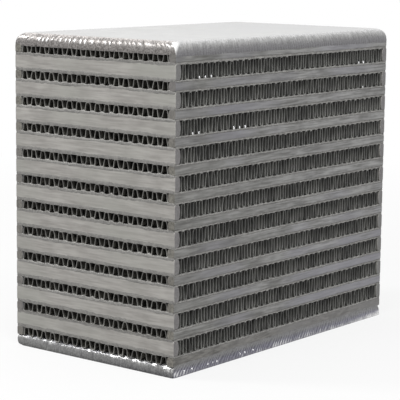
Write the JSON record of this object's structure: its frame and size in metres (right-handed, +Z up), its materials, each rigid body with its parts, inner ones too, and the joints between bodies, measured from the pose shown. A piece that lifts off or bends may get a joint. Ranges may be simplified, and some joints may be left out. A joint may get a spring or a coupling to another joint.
{
  "type": "intercooler core",
  "caption": "Bare bar-and-plate charge air cooler core: corrugated fins stacked between bars, parting sheets and two end plates",
  "frame": {"origin": "middle of the underside of the bottom end plate, on which the core stands", "axes": "+X along the charge-air flow (the longest side), +Y along the cooling-air flow (the shortest side), +Z up through the stack of layers"},
  "size_m": [0.198, 0.1142, 0.1746],
  "materials": {
    "end_plates": "bare aluminium plate, matt on the flats, with bright rippled weld along the rim",
    "bars_and_sheets": "bare brazed aluminium, dull and slightly warm grey, with faint drawn streaks",
    "charge_fins": "thin bare foil, dull inside and bright on its cut edges",
    "cooling_fins": "thin bare foil, dull grey, with specks of braze metal at a few folds"
  },
  "bodies": {
    "root": {"bottom_plate": "end_plates", "parting_sheet_01": "bars_and_sheets", "parting_sheet_02": "bars_and_sheets", "parting_sheet_03": "bars_and_sheets", "parting_sheet_04": "bars_and_sheets", "parting_sheet_05": "bars_and_sheets", "parting_sheet_06": "bars_and_sheets", "parting_sheet_07": "bars_and_sheets", "parting_sheet_08": "bars_and_sheets", "parting_sheet_09": "bars_and_sheets", "parting_sheet_10": "bars_and_sheets", "parting_sheet_11": "bars_and_sheets", "parting_sheet_12": "bars_and_sheets", "parting_sheet_13": "bars_and_sheets", "parting_sheet_14": "bars_and_sheets", "parting_sheet_15": "bars_and_sheets", "parting_sheet_16": "bars_and_sheets", "parting_sheet_17": "bars_and_sheets", "parting_sheet_18": "bars_and_sheets", "parting_sheet_19": "bars_and_sheets", "parting_sheet_20": "bars_and_sheets", "parting_sheet_21": "bars_and_sheets", "parting_sheet_22": "bars_and_sheets", "top_plate": "end_plates", "charge_fin_01": "charge_fins", "charge_fin_02": "charge_fins", "charge_fin_03": "charge_fins", "charge_fin_04": "charge_fins", "charge_fin_05": "charge_fins", "charge_fin_06": "charge_fins", "charge_fin_07": "charge_fins", "charge_fin_08": "charge_fins", "charge_fin_09": "charge_fins", "charge_fin_10": "charge_fins", "charge_fin_11": "charge_fins", "charge_fin_12": "charge_fins", "cooling_fin_01": "cooling_fins", "cooling_fin_02": "cooling_fins", "cooling_fin_03": "cooling_fins", "cooling_fin_04": "cooling_fins", "cooling_fin_05": "cooling_fins", "cooling_fin_06": "cooling_fins", "cooling_fin_07": "cooling_fins", "cooling_fin_08": "cooling_fins", "cooling_fin_09": "cooling_fins", "cooling_fin_10": "cooling_fins", "cooling_fin_11": "cooling_fins"}
  },
  "joints": []
}
